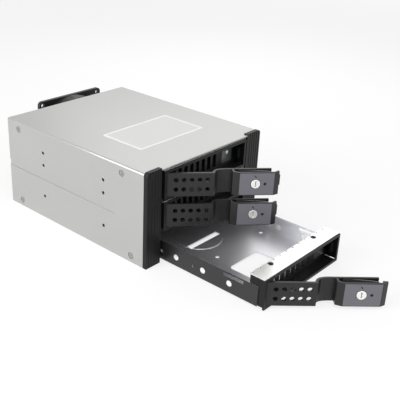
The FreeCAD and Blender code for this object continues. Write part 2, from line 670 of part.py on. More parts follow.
def make_drive_connectors():
    """Plugs on the backplane that the drives push onto, one behind each tray."""
    body = new_body("drive_connectors")
    start = back_from_front("board_front - plug_depth")
    block = pad(body, "front", start, "plug_depth", rectangle(
        "plug_across - plug_width / 2", "plug_low",
        "plug_across + plug_width / 2", "plug_low + plug_height"))
    mouth = pocket(body, "front", start, "plug_depth - panel_gauge", rectangle(
        "plug_across - plug_width / 2 + panel_gauge", "plug_low + panel_gauge",
        "plug_across + plug_width / 2 - panel_gauge", "plug_low + plug_height - panel_gauge"))
    tongue = pad(body, "front", start, "plug_depth", rectangle(
        "plug_across - plug_width / 2 + 2 * panel_gauge", "plug_low + tongue_low",
        "plug_across + plug_width / 2 - 2 * panel_gauge",
        "plug_low + tongue_low + panel_gauge"))
    row = repeat(body, block, "Z", "tray_pitch", TRAY_COUNT)
    row.Originals = [block, mouth, tongue]
    return body


def make_sockets(name, wanted_width):
    """Sockets on the backplane's rear, each with a mouth that opens to the rear."""
    body = new_body(name)
    start = back_from_front("board_front + board_gauge")
    length = f"{REAR} - {start} + socket_proud"
    places = [place for place in socket_places() if place[2] == wanted_width]
    blocks = [rectangle(f"{across} - {width} / 2", f"{up} - {height} / 2",
                        f"{across} + {width} / 2", f"{up} + {height} / 2")
              for across, up, width, height in places]
    mouths = [rectangle(f"{across} - {width} / 2 + socket_wall",
                        f"{up} - {height} / 2 + socket_wall",
                        f"{across} + {width} / 2 - socket_wall",
                        f"{up} + {height} / 2 - socket_wall")
              for across, up, width, height in places]
    pad(body, "front", start, length, *blocks)
    pocket(body, "front", f"{REAR} + socket_proud - socket_mouth", "socket_mouth", *mouths)
    return body


# ---------------------------------------------------------------- the fan
# The fan's bodies have their own origin where the fan's axis meets the rear panel.

FAN_PLACE = ("fan_across", REAR, "fan_axis")


def fan_corners(radius, sides=8):
    """The four screw holes, shanks or heads about the fan's axis."""
    return [many_sided(f"{a} * fan_holes / 2", f"{b} * fan_holes / 2", radius, sides)
            for a in (-1, 1) for b in (-1, 1)]


def make_fan_frame():
    """Moulded fan frame: two square flanges, a round duct, and a spider for the bearing."""
    body = new_body("fan_frame", FAN_PLACE)
    half = "fan_size / 2"
    square = rectangle(f"0 - {half}", f"0 - {half}", half, half)
    pad(body, "front", "0", "fan_flange", square)
    pad(body, "front", "fan_depth - fan_flange", "fan_flange", square)
    corner = number_of(half)
    round_edges(body, "fan_corner", lambda edge: any(
        runs_along(edge, "y", {"x": a * corner, "z": b * corner})
        for a in (-1, 1) for b in (-1, 1)))
    pad(body, "front", "0", "fan_depth", circle("0", "0", "fan_shell"))
    pocket(body, "front", "0", "fan_depth", circle("0", "0", "fan_bore"))
    pocket(body, "front", "0", "fan_depth", *fan_corners("fan_hole"))
    plate = "fan_depth - spider_depth"
    pad(body, "front", plate, "spider_depth", circle("0", "0", "stator_radius"))
    arm = pad(body, "front", plate, "spider_depth", rectangle(
        "0 - spider_arm / 2", "stator_radius - spider_arm",
        "spider_arm / 2", "fan_bore + spider_arm / 4"))
    turn_about_axis(body, [arm], SPIDER_ARMS)
    pocket(body, "front", plate, "spider_depth", circle("0", "0", "shaft_radius + running_fit"))
    return body


def turn_about_axis(body, members, count):
    """Repeats features evenly about the body's own Y axis."""
    ring = body.newObject("PartDesign::PolarPattern", f"{body.Name}_ring")
    ring.Originals = members
    ring.Axis = (origin_of(body, "Y_Axis"), [""])
    ring.Angle = 360
    ring.Occurrences = count
    body.Tip = ring
    return ring


def make_fan_rotor():
    """Rotor: hub, shaft and seven blades, each a tapered plate that leans about its radius."""
    body = new_body("fan_rotor", FAN_PLACE)
    length = "fan_depth - spider_depth - rotor_gap - rotor_front"
    pad(body, "front", "rotor_front", length, circle("0", "0", "hub_radius"))
    pad(body, "front", "rotor_front", "fan_depth - rotor_front - slide_gap",
        circle("0", "0", "shaft_radius"))
    root = "hub_radius - 2 * blade_gauge"
    blade = pad(body, "front", f"rotor_front + ({length}) / 2 - blade_gauge / 2", "blade_gauge",
                polygon(("0 - root_chord / 2", root), ("root_chord / 2", root),
                        ("tip_chord / 2", "blade_tip"), ("0 - tip_chord / 2", "blade_tip")))
    sketch = blade.Profile[0]
    sketch.AttachmentOffset.Rotation = FreeCAD.Rotation(FreeCAD.Vector(0, 1, 0), 1)
    sketch.setExpression("AttachmentOffset.Rotation.Angle", bound("blade_lean"))
    turn_about_axis(body, [blade], BLADES)
    return body


def make_fan_screws():
    """Four screws from inside the rear panel into the fan's front flange."""
    body = new_body("fan_screws", FAN_PLACE)
    pad(body, "front", "0 - panel_gauge", "panel_gauge + fan_flange",
        *fan_corners("fan_hole - 2 * slide_gap", 6))
    pad(body, "front", "0 - panel_gauge - pan_head", "pan_head",
        *fan_corners("fan_hole * 1.8", 12))
    return body


def make_cover_screws():
    """Eight low-headed screws through the cover into the base and the inner walls."""
    body = new_body("cover_screws")
    for side in (-1, 1):
        head = span(side, "cage_width / 2 - head_height", "cage_width / 2")
        shank = span(side, "cage_width / 2 - screw_length", "cage_width / 2 - head_height")
        places = [(back_from_front(along), up) for along, up in cover_screw_places()]
        pad(body, "side", head[0], "head_height",
            *[many_sided(along, up, "screw_head", 12) for along, up in places])
        pad(body, "side", shank[0], "screw_length - head_height",
            *[many_sided(along, up, "screw_radius", 6) for along, up in places])
    return body


# ---------------------------------------------------------------- the trays
# A tray's bodies have their origin under the middle of its bezel's front, at its bay's
# floor. A lever's bodies have it on the hinge axis, at the lever's underside, and lie
# along +X when the lever is closed.

def tray_place(tray):
    """Where a tray's own origin is. Tray 0 is the bottom one, which is drawn out."""
    drawn = "tray_drawn" if tray == 0 else "0"
    return ("0", f"{FRONT} - {drawn}", f"tray_first + tray_pitch * {tray}")


def lever_place(tray):
    """Where a lever's hinge axis is."""
    across, along, up = tray_place(tray)
    return ("0 - pivot_across", f"{along} + pivot_depth", f"{up} + lever_low")


def lever_turn(tray):
    """How far a lever is turned: minus its opening angle, about +Z."""
    return "0 - open_drawn_tray" if tray == 0 else "0 - open_closed_tray"


def make_tray_pan(tray, name):
    """Pressed steel tray: floor with a window and a disc, walls that run past the bezel."""
    body = new_body(name, tray_place(tray))
    inner = "(pan_half - pan_gauge)"
    floor = "(pan_low + pan_gauge)"
    pad(body, "front", "bezel_depth", "pan_end - bezel_depth", polygon(
        ("0 - pan_half", "pan_low"), ("pan_half", "pan_low"), ("pan_half", "pan_high"),
        (inner, "pan_high"), (inner, floor), (f"0 - {inner}", floor),
        (f"0 - {inner}", "pan_high"), ("0 - pan_half", "pan_high")))
    for side in (-1, 1):
        ear = span(side, f"{inner} - ear_width", inner)
        pad(body, "front", "bezel_depth", "pan_gauge",
            rectangle(ear[0], "ear_low", ear[1], "pan_high"))
        wing = span(side, inner, "pan_half")
        pad(body, "front", "wing_start", "bezel_depth - wing_start",
            rectangle(wing[0], "pan_low", wing[1], "pan_high"))
    pad(body, "top", floor, "disc_rise",
        many_sided("disc_across", "disc_along", "disc_radius", 24))
    window = cut_cornered("window_left", "bezel_depth + pan_gauge", "window_right",
                          "window_back", "window_corner")
    cut = [circle(*place, "screw_radius + slide_gap") for place in small_drive_places()]
    pocket(body, "top", "pan_low", f"{floor} + disc_rise - pan_low", window, *cut, rectangle(
        "window_left + pan_gauge", "disc_slot_near", "window_right + pan_gauge",
        "disc_slot_near + disc_slot_width"))
    holes = [many_sided(along, "wall_hole_up", radius) for along, radius in (
        ("drive_end - side_screw_near", "wall_hole_large"),
        ("drive_end - side_screw_near - side_screw_span", "wall_hole_large"),
        ("wall_hole_second", "wall_hole_large"), ("wall_hole_third", "wall_hole_large"),
        ("wall_hole_small_near", "screw_radius"), ("wall_hole_small_far", "screw_radius"))]
    for side in (-1, 1):
        wall = span(side, inner, "pan_half")
        pocket(body, "side", wall[0], "pan_gauge", *holes, rectangle(
            "wall_slot_start", "wall_slot_low", "wall_slot_start + wall_slot_length",
            "wall_slot_low + wall_slot_height"))
    return body


def small_drive_places():
    """The four holes that a 2.5 inch drive is screwed to, across and along."""
    return [(f"small_drive_centre + {side} * small_drive_across / 2",
             f"drive_end - small_drive_near - small_drive_along * {step}")
            for side in (-1, 1) for step in (0, 1)]


def make_tray_bezel(tray, name):
    """Moulded bezel: a deep frame with a slotted grille at the back of its recess."""
    body = new_body(name, tray_place(tray))
    right = "(bezel_half - bezel_rim)"
    low, high = "(bezel_low + bezel_rim)", "(bezel_high - bezel_rim)"
    pad(body, "front", "0", "bezel_depth", cut_cornered(
        "(0 - bezel_half)", "bezel_low", "bezel_half", "bezel_high", "bezel_edge"))
    for side in (-1, 1):
        edge = span(side, "pan_half - pan_gauge - running_fit", "bezel_half")
        pocket(body, "front", "side_step", "bezel_depth - side_step",
               rectangle(edge[0], "bezel_low", edge[1], "bezel_high"))
        foot = span(side, "bezel_half - lip_inset", "bezel_half")
        pocket(body, "front", "frame_lip", "bezel_depth - frame_lip",
               rectangle(foot[0], "bezel_low", foot[1], "bezel_low + lip_reach"))
    hollow = rectangle("0 - bezel_left", low, right, high)
    pocket(body, "front", "0", "recess_depth", hollow)
    grille_back = "recess_depth + grille_gauge"
    pocket(body, "front", grille_back, f"bezel_depth - ({grille_back})", rectangle(
        "0 - bezel_left", low, "pipe_left - pan_gauge", high))
    vent = pocket(body, "front", "recess_depth", "grille_gauge", rectangle(
        "slot_first - slot_width / 2", "slot_low", "slot_first + slot_width / 2", "slot_high"))
    repeat(body, vent, "X", "slot_pitch", GRILLE_SLOTS)
    pocket(body, "front", "recess_depth", "bezel_depth - recess_depth",
           rectangle("pipe_left", "pipe_low", "pipe_right", "pipe_high"))
    pocket(body, "top", "bezel_low", "bezel_high - bezel_low",
           many_sided("0 - pivot_across", "pivot_depth", "pin_radius"))
    pad(body, "top", "catch_low", "catch_high - catch_low", rectangle(
        "catch_across", "catch_front", right, "catch_front + bezel_rim"))
    return body


def make_light_pipe(tray, name):
    """Clear light pipe: a block through the grille, in front of the bay's two lamps."""
    body = new_body(name, tray_place(tray))
    start = "recess_depth - pipe_proud"
    pad(body, "front", start, f"bezel_depth - ({start})",
        rectangle("pipe_left", "pipe_low", "pipe_right", "pipe_high"))
    return body


def make_shield(tray, name):
    """Spring steel strip on top of the bezel, with a toothed back edge."""
    body = new_body(name, tray_place(tray))
    pad(body, "top", "bezel_high", "shield_gauge", rectangle(
        "0 - bezel_half + slide_gap", "shield_front", "bezel_half - slide_gap", "shield_back"))
    gap = pocket(body, "top", "bezel_high", "shield_gauge", rectangle(
        "tooth_first", "shield_back - tooth_notch", "tooth_first + tooth_notch", "shield_back"))
    repeat(body, gap, "X", "tooth_pitch", SHIELD_GAPS)
    pocket(body, "top", "bezel_high", "shield_gauge", *[
        many_sided(f"{side} * shield_hole_across", "shield_hole_along", "screw_radius")
        for side in (-1, 1)])
    return body


def make_hinge_pin(tray, name):
    """Steel pin through both rims of the bezel and the lever's knuckle."""
    body = new_body(name, tray_place(tray))
    pad(body, "top", "bezel_low + slide_gap", "bezel_high - bezel_low - 2 * slide_gap",
        circle("0 - pivot_across", "pivot_depth", "pin_radius"))
    return body


def make_bezel_screws(tray, name):
    """Four screws through the pan's ears into the back of the bezel."""
    body = new_body(name, tray_place(tray))
    places = [(f"{side} * ear_screw_across", up) for side in (-1, 1)
              for up in ("ear_screw_low", "ear_screw_high")]
    start = "bezel_depth + pan_gauge"
    pad(body, "front", start, "ear_head", *[many_sided(*place, "ear_head_radius")
                                            for place in places])
    return body


def make_lever(tray, name):
    """Moulded lever, one plan outline: plate, finger scoop and back wall, then a shelf."""
    body = new_body(name, lever_place(tray), lever_turn(tray))
    front, back = "(0 - pivot_depth)", "(lever_depth - pivot_depth)"
    wall = "(lever_depth - lever_back - pivot_depth)"
    pad(body, "top", "0", "lever_height", polygon(
        ("0", front), ("plate_end", front), ("plate_end + 0.4", f"{front} + lever_gauge"),
        ("plate_end + 1.5", f"{wall} - 2.8"), ("plate_end + 3.4", f"{wall} - 1.3"),
        ("plate_end + 6.4", f"{wall} - 0.4"), ("scoop_end", wall), ("back_end", wall),
        ("back_end", back), ("scoop_end - 2", back), ("plate_end + 5.1", f"{back} - 0.5"),
        ("plate_end + 1.9", f"{back} - 1.6"), ("plate_end - 0.2", f"{wall} - 1.7"),
        ("plate_end - 1.5", f"{wall} - 4.1"), ("plate_end - 2", f"{front} + lever_gauge"),
        ("0", f"{front} + lever_gauge")))
    pad(body, "top", "0", "lever_height", many_sided("0", "0", "knuckle_radius", 12))
    pocket(body, "top", "0", "lever_height", circle("0", "0", "pin_radius + running_fit"))
    rows = [many_sided("hole_first", f"lever_height / 2 + {side} * hole_rows / 2", "plate_hole")
            for side in (-1, 1)]
    column = pocket(body, "front", front, "lever_gauge", *rows)
    repeat(body, column, "X", "hole_pitch", HOLE_COLUMNS)
    pad(body, "top", "0", "shelf_gauge", rectangle(
        "block_start + block_wall + latch_travel + slide_gap",
        f"{front} + block_wall + face_slope + slide_gap", "back_end", wall))
    return body


def make_latch(tray, name):
    """Latch block: a shell open behind, with sloping sides, a hook and the lock's boss."""
    body = new_body(name, lever_place(tray), lever_turn(tray))
    front = "(0 - pivot_depth)"
    side_front = f"({front} + face_slope)"
    back = "(lever_depth - lever_back - pivot_depth - slide_gap)"
    hook_back = "(lever_depth - pivot_depth - slide_gap)"
    near, far = "(block_start + block_wall)", "(block_end - block_wall)"
    pad(body, "top", "0", "lever_height", polygon(
        ("block_start", side_front), ("face_start", front), ("face_end", front),
        ("block_end", side_front), ("block_end", hook_back), (far, hook_back),
        (far, f"{side_front} + block_wall"), ("face_end", f"{front} + block_wall"),
        ("face_start", f"{front} + block_wall"), (near, f"{side_front} + block_wall"),
        (near, back), ("block_start", back)))
    pocket(body, "top", "lever_height - tail_drop", "tail_drop", polygon(
        (far, f"{side_front} + block_wall"), ("block_end", f"{side_front} + block_wall"),
        ("block_end", hook_back), (far, hook_back)))
    pad(body, "front", f"{front} + block_wall", "boss_length",
        many_sided("lock_across", "lever_height / 2", "lock_radius + block_wall", 12))
    pocket(body, "front", front, "block_wall + boss_length",
           circle("lock_across", "lever_height / 2", "lock_radius + running_fit"))
    pocket(body, "front", front, "block_wall",
           many_sided("lamp_window_across", "lever_height / 2", "lamp_window"))
    pad(body, "side", "block_end", "hook_reach", rectangle(
        f"{hook_back} - hook_gauge", "hook_low", hook_back, "lever_height - hook_low"))
    return body


def make_latch_spring(tray, name):
    """Bowed leaf spring behind the latch block, fixed to the lever's back wall."""
    body = new_body(name, lever_place(tray), lever_turn(tray))
    wall = "(lever_depth - lever_back - pivot_depth)"
    pad(body, "top", "spring_low", "spring_width", polygon(
        ("spring_start", wall), ("spring_start", f"{wall} - spring_gauge"),
        ("spring_start + spring_foot", f"{wall} - spring_gauge"),
        ("spring_start + spring_foot * 3", f"{wall} - spring_bow * 0.3"),
        ("spring_end - spring_foot", f"{wall} - spring_bow * 0.75"),
        ("spring_end", f"{wall} - spring_bow"),
        ("spring_end", f"{wall} - spring_bow + spring_gauge"),
        ("spring_end - spring_foot", f"{wall} - spring_bow * 0.75 + spring_gauge"),
        ("spring_start + spring_foot * 3", f"{wall} - spring_bow * 0.3 + spring_gauge"),
        ("spring_start + spring_foot", wall)))
    return body


def make_lock(tray, name):
    """Lock barrel with a keyway in its face and a cam at its back."""
    body = new_body(name, lever_place(tray), lever_turn(tray))
    front = "(0 - pivot_depth - lock_proud)"
    level = "lever_height / 2"
    pad(body, "front", front, "lock_proud + lock_back", circle("lock_across", level, "lock_radius"))
    pad(body, "front", f"{front} + lock_proud + lock_back", "cam_gauge", rectangle(
        "lock_across - cam_width / 2", level, "lock_across + cam_width / 2",
        f"{level} + lock_radius + cam_width / 2"))
    pocket(body, "front", front, "keyway_depth", rectangle(
        "lock_across - keyway_width / 2", f"{level} - keyway_length / 2",
        "lock_across + keyway_width / 2", f"{level} + keyway_length / 2"))
    return body


# ---------------------------------------------------------------- all the pieces

bodies = [
    make_outer_cover(),
    make_base_plate(),
    make_side_wall(-1, "side_wall_left"),
    make_side_wall(+1, "side_wall_right"),
    make_guide_rails(-1, "guide_rails_left"),
    make_guide_rails(+1, "guide_rails_right"),
    make_top_brace(),
    make_front_post(-1, "front_post_left", "post_left_edge"),
    make_front_post(+1, "front_post_right", "post_right_edge"),
    make_rear_panel(),
    make_backplane(),
    make_drive_connectors(),
    make_sockets("data_sockets", "data_width"),
    make_sockets("power_sockets", "power_width"),
    make_fan_frame(),
    make_fan_rotor(),
    make_fan_screws(),
    make_cover_screws(),
]
TRAY_PIECES = {
    "tray_pan": make_tray_pan,
    "tray_bezel": make_tray_bezel,
    "light_pipe": make_light_pipe,
    "shield_strip": make_shield,
    "hinge_pin": make_hinge_pin,
    "bezel_screws": make_bezel_screws,
    "lever": make_lever,
    "latch_block": make_latch,
    "latch_spring": make_latch_spring,
    "lock_barrel": make_lock,
}
for tray, tray_name in enumerate(("bottom", "middle", "top")):
    for piece, make in TRAY_PIECES.items():
        bodies.append(make(tray, f"{piece}_{tray_name}"))

doc.recompute()

for item in doc.Objects:
    if {"Invalid", "Error"} & set(item.State):
        raise RuntimeError(f"{item.Label} failed: {item.State}")
for feature, sense in features:
    base = feature.BaseFeature
    before = base.Shape.Volume if base is not None else 0.0
    if (feature.Shape.Volume - before) * sense <= 0.0:
        raise RuntimeError(f"{feature.Label} changed nothing")

os.makedirs("parts", exist_ok=True)
for body in bodies:
    shape = body.Shape
    if shape.isNull() or not shape.isValid():
        raise RuntimeError(f"{body.Label} has no valid shape")
    shape.exportStep(f"parts/{body.Label}.step")
    print(body.Label, len(shape.Solids), round(shape.Volume))
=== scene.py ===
import json
import math

import bmesh
import bpy
import numpy as np
from mathutils import Matrix, Vector


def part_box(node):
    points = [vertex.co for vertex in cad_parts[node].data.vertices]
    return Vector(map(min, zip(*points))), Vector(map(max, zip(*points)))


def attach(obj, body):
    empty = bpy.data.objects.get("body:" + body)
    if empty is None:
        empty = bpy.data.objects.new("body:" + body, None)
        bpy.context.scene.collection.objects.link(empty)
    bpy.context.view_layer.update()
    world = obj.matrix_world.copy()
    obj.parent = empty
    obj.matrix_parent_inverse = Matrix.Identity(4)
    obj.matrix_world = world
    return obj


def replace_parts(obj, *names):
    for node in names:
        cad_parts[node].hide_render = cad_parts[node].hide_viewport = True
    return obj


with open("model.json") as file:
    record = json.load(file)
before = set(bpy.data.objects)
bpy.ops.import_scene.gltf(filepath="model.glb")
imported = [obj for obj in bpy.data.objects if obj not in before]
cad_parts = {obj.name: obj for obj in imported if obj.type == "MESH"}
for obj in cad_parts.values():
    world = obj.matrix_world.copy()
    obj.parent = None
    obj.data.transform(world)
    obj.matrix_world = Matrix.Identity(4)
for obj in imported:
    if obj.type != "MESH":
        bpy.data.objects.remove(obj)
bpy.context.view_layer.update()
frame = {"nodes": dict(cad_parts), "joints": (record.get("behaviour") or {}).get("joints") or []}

# Hot swap drive cage. Metres, +X to the right seen from the front, +Y to the rear, +Z up.
# The CAD nodes keep their shapes: scene.py rounds their edges, gives them materials, and
# adds the small parts that the solids leave out.

NODES = frame["nodes"]
TRAYS = ("bottom", "middle", "top")
JOINTS = {joint["name"]: joint for joint in frame["joints"]}
MM = 0.001
WHITE = (1, 1, 1, 1)


# ---------------------------------------------------------------- materials

def srgb(text):
    """Linear colour, with alpha 1, of a hex sRGB colour such as "8c8c88"."""
    parts = [int(text[place:place + 2], 16) / 255 for place in (0, 2, 4)]
    linear = [part / 12.92 if part <= 0.04045 else ((part + 0.055) / 1.055) ** 2.4
              for part in parts]
    return (*linear, 1.0)


def add_node(tree, kind, inputs=(), **settings):
    """Adds a node. inputs maps a socket's name or number to a value or to another
    node's output.
    """
    node = tree.nodes.new(kind)
    for name, value in settings.items():
        setattr(node, name, value)
    for name, value in dict(inputs).items():
        if isinstance(value, bpy.types.NodeSocket):
            tree.links.new(value, node.inputs[name])
        else:
            node.inputs[name].default_value = value
    return node


CLOUDS_PER_METRE = 18.0
UNEVEN = 0.05
RELIEF_PER_GRAIN = 0.2


def new_material(name, base, roughness, *, spread, grain, bump, metallic=0.0,
                 specular=0.5, stretch=(1, 1, 1)):
    """A solid material: a base colour that varies a little, and a fine surface grain.

    Clouds a few centimetres wide vary the colour by the share spread, and the roughness
    by UNEVEN, as handling does. grain is the size of the surface's relief in metres, and
    stretch draws it out along an axis, as rolling or brushing does.
    """
    made = bpy.data.materials.new(name)
    made.use_nodes = True
    tree = made.node_tree
    shader = tree.nodes["Principled BSDF"]
    place = add_node(tree, "ShaderNodeTexCoord").outputs["Object"]
    drawn = add_node(tree, "ShaderNodeMapping", {"Vector": place, "Scale": stretch}).outputs[0]
    cloud = add_node(tree, "ShaderNodeTexNoise", {
        "Vector": place, "Scale": CLOUDS_PER_METRE, "Detail": 3.0}).outputs["Fac"]
    dark = tuple(part * (1 - spread) for part in base[:3]) + (1.0,)
    light = tuple(min(1.0, part * (1 + spread)) for part in base[:3]) + (1.0,)
    colour = add_node(tree, "ShaderNodeMix", {0: cloud, 6: dark, 7: light}, data_type="RGBA")
    tree.links.new(colour.outputs[2], shader.inputs["Base Color"])
    rough = add_node(tree, "ShaderNodeMapRange", {
        "Value": cloud, "To Min": roughness - UNEVEN, "To Max": roughness + UNEVEN})
    tree.links.new(rough.outputs[0], shader.inputs["Roughness"])
    fine = add_node(tree, "ShaderNodeTexNoise", {
        "Vector": drawn, "Scale": 1.0 / grain, "Detail": 4.0}).outputs["Fac"]
    relief = add_node(tree, "ShaderNodeBump", {
        "Height": fine, "Strength": bump, "Distance": grain * RELIEF_PER_GRAIN})
    tree.links.new(relief.outputs[0], shader.inputs["Normal"])
    shader.inputs["Metallic"].default_value = metallic
    shader.inputs["Specular IOR Level"].default_value = specular
    return made


# Cover: hot dip galvanised sheet with a satin skin pass, so a soft sheen and no spangle.
GALVANISED = new_material("galvanised_sheet", srgb("acacaa"), 0.3, metallic=0.55,
                          spread=0.02, grain=0.0005, bump=0.06, stretch=(1, 0.15, 1))
# Inner walls, base and rear panel: zinc plated steel, a little darker.
ZINC = new_material("zinc_plated_steel", srgb("a8a8a4"), 0.38, metallic=0.85,
                    spread=0.04, grain=0.0006, bump=0.08)
# Posts, bezels and rails: spark eroded ABS, black with a fine matt texture.
BLACK_ABS = new_material("textured_black_abs", srgb("0f0f10"), 0.45, specular=0.25,
                         spread=0.1, grain=0.0005, bump=0.3)
# Levers and latch blocks: glass filled nylon, dark grey.
NYLON = new_material("glass_filled_nylon", srgb("1a1a1b"), 0.38, specular=0.4,
                     spread=0.07, grain=0.0004, bump=0.25)
# Latch faces: a smooth grey inlay in each block's flat front.
INLAY = new_material("grey_inlay", srgb("5e5e64"), 0.4,
                     spread=0.04, grain=0.0005, bump=0.1)
# Tray pans: sheet steel with black enamel on its outside only; see coat_outside.
PAN_SHEET = new_material("one_side_enamelled_steel", srgb("d0d0d4"), 0.36, metallic=0.85,
                         spread=0.04, grain=0.0009, bump=0.05)
# Shield strips: bright stainless spring strip, rolled along its length.
STAINLESS = new_material("stainless_spring_strip", srgb("e2e2e0"), 0.3, metallic=0.85,
                         spread=0.04, grain=0.0006, bump=0.05, stretch=(0.1, 1, 1))
# Leaf springs: tempered spring steel, darker.
BLUED = new_material("tempered_spring_steel", srgb("8a8a8c"), 0.3, metallic=0.9,
                     spread=0.05, grain=0.0006, bump=0.06, stretch=(0.1, 1, 1))
# Screws and pins: zinc plated.
PLATED = new_material("plated_screw_steel", srgb("9c9c98"), 0.34, metallic=0.9,
                      spread=0.05, grain=0.0004, bump=0.08)
# Lock barrels: die cast zinc, bright nickel plate.
NICKEL = new_material("bright_nickel_plate", srgb("e8e8e6"), 0.25, metallic=0.6,
                      spread=0.02, grain=0.0006, bump=0.05)
# Light pipes: frosted polycarbonate.
POLYCARBONATE = new_material("frosted_polycarbonate", srgb("3c3f41"), 0.25,
                             specular=0.6, spread=0.05, grain=0.0008, bump=0.1)
# Lamp lenses: clear polycarbonate over a white emitter that is off.
LENS = new_material("clear_lens", srgb("c8ccd0"), 0.1, specular=0.8,
                    spread=0.02, grain=0.0008, bump=0.02)
# Fan: black PBT, satin.
PBT = new_material("black_pbt", srgb("131314"), 0.42, specular=0.4,
                   spread=0.1, grain=0.0006, bump=0.15)
# Backplane: green solder mask over glass fibre board.
SOLDER_MASK = new_material("green_solder_mask", srgb("1d4a2c"), 0.3, specular=0.6,
                           spread=0.1, grain=0.0012, bump=0.1)
# Contacts: tin plated brass.
TIN = new_material("tin_plated_brass", srgb("c9c4b4"), 0.3, metallic=0.9,
                   spread=0.03, grain=0.0004, bump=0.05)
# Drive screws kept in the pan's walls: zinc plate, whose near-white colour is painted light for
# the light that shows through the holes in the pan's walls.
WALL_SCREW_PAINTED_LIGHT = new_material("screw_steel_painted_light", srgb("e6e6e4"), 0.35, metallic=0.5,
                          spread=0.05, grain=0.0004, bump=0.05)
# Screws in the shield strips: black oxide.
BLACK_SCREW = new_material("black_oxide_screw", srgb("1e1e1f"), 0.35, metallic=0.6,
                           spread=0.05, grain=0.0004, bump=0.05)
# Label: white coated paper, and the same with a faint grey tint.
PAPER = new_material("coated_paper", srgb("e6e6e4"), 0.5, specular=0.3,
                     spread=0.01, grain=0.0007, bump=0.05)
TONED_PAPER = new_material("toned_paper", srgb("cfcfce"), 0.5, specular=0.3,
                           spread=0.02, grain=0.0007, bump=0.05)


WALL_MIDDLE = 52.25 * MM
FACES_DOWN = -0.5


def coat_outside(material, coat):
    """Enamel on a pan's outside: where |X| is beyond the middle of a side wall's sheet,
    or the surface faces down, the bare steel's colour and metal give way to the coat.
    """
    tree = material.node_tree
    shader = tree.nodes["Principled BSDF"]
    bare = shader.inputs["Base Color"].links[0].from_socket
    place = add_node(tree, "ShaderNodeTexCoord")
    across = add_node(tree, "ShaderNodeSeparateXYZ", {0: place.outputs["Object"]}).outputs[0]
    reach = add_node(tree, "ShaderNodeMath", {0: across}, operation="ABSOLUTE").outputs[0]
    beyond = add_node(tree, "ShaderNodeMath", {0: reach, 1: WALL_MIDDLE},
                      operation="GREATER_THAN")
    upward = add_node(tree, "ShaderNodeSeparateXYZ", {0: place.outputs["Normal"]}).outputs[2]
    below = add_node(tree, "ShaderNodeMath", {0: upward, 1: FACES_DOWN},
                     operation="LESS_THAN")
    coated = add_node(tree, "ShaderNodeMath", {0: beyond.outputs[0], 1: below.outputs[0]},
                      operation="MAXIMUM").outputs[0]
    mixed = add_node(tree, "ShaderNodeMix", {0: coated, 6: bare, 7: coat}, data_type="RGBA")
    tree.links.new(mixed.outputs[2], shader.inputs["Base Color"])
    metal = add_node(tree, "ShaderNodeMapRange", {
        "Value": coated, "To Min": shader.inputs["Metallic"].default_value, "To Max": 0.0})
    tree.links.new(metal.outputs[0], shader.inputs["Metallic"])


coat_outside(PAN_SHEET, srgb("1c1c1d"))

MATERIAL_OF = {
    "outer_cover": GALVANISED, "base_plate": ZINC, "side_wall_left": ZINC,
    "side_wall_right": ZINC, "top_brace": GALVANISED, "rear_panel": ZINC,
    "guide_rails_left": BLACK_ABS, "guide_rails_right": BLACK_ABS,
    "front_post_left": BLACK_ABS, "front_post_right": BLACK_ABS,
    "backplane": SOLDER_MASK, "drive_connectors": BLACK_ABS, "data_sockets": BLACK_ABS,
    "power_sockets": BLACK_ABS, "fan_frame": PBT, "fan_rotor": PBT,
    "fan_screws": PLATED, "cover_screws": PLATED,
    "tray_pan": PAN_SHEET, "tray_bezel": BLACK_ABS, "light_pipe": POLYCARBONATE,
    "shield_strip": STAINLESS, "hinge_pin": PLATED, "bezel_screws": PLATED,
    "lever": NYLON, "latch_block": NYLON, "latch_spring": BLUED, "lock_barrel": NICKEL,
}
# Radius in millimetres of each kind of piece's edges.
EDGE_OF = {
    "outer_cover": 0.15, "base_plate": 0.15, "side_wall_left": 0.15,
    "side_wall_right": 0.15, "top_brace": 0.15, "rear_panel": 0.15,
    "front_post_left": 0.5, "front_post_right": 0.5, "fan_frame": 0.4,
    "fan_rotor": 0.3, "tray_pan": 0.15, "tray_bezel": 0.35, "shield_strip": 0.06,
    "lever": 0.4, "latch_block": 0.5, "lock_barrel": 0.3, "data_sockets": 0.2,
    "power_sockets": 0.25, "drive_connectors": 0.2, "light_pipe": 0.3,
}


WELD_REACH = 0.002 * MM
FLAT_WITHIN = math.radians(0.5)
ROUND_BEYOND = math.radians(40)


def kind_of(node):
    """A tray piece's node name without its tray, or any other node's own name."""
    for tray in TRAYS:
        if node.endswith("_" + tray):
            return node[:-len(tray) - 1]
    return node


def dress(node):
    """Gives a CAD node its material and rounds its sharp edges with modifiers."""
    piece = NODES[node]
    kind = kind_of(node)
    piece.data.materials.clear()
    piece.data.materials.append(MATERIAL_OF[kind])
    if kind in EDGE_OF:
        weld = piece.modifiers.new("weld", "WELD")
        weld.merge_threshold = WELD_REACH
        flat = piece.modifiers.new("flat", "DECIMATE")
        flat.decimate_type = "DISSOLVE"
        flat.angle_limit = FLAT_WITHIN
        edge = piece.modifiers.new("edge", "BEVEL")
        edge.width = EDGE_OF[kind] * MM
        edge.segments = 2
        edge.limit_method = "ANGLE"
        edge.angle_limit = ROUND_BEYOND
        edge.harden_normals = True


for name in NODES:
    dress(name)


# ---------------------------------------------------------------- small parts
# Lengths in this part are in millimetres, from the same named places as the solids.

# A screw's cross recess: half an arm's width, its reach and the width of its sloping side
# as shares of the head's radius, and its depth as a share of the head's height.
ARM, REACH, SLOPE, SINK = 0.13, 0.56, 0.05, 0.7
SAME_POINT = 1e-7
SMOOTH_WITHIN = math.radians(32)


def facing(place, across, up):
    """Matrix whose own X runs across, its Y up, and its Z out of the face, at a place."""
    across, up = Vector(across), Vector(up)
    return (Matrix.Translation(Vector(place) * MM)
            @ Matrix((across, up, across.cross(up))).transposed().to_4x4())


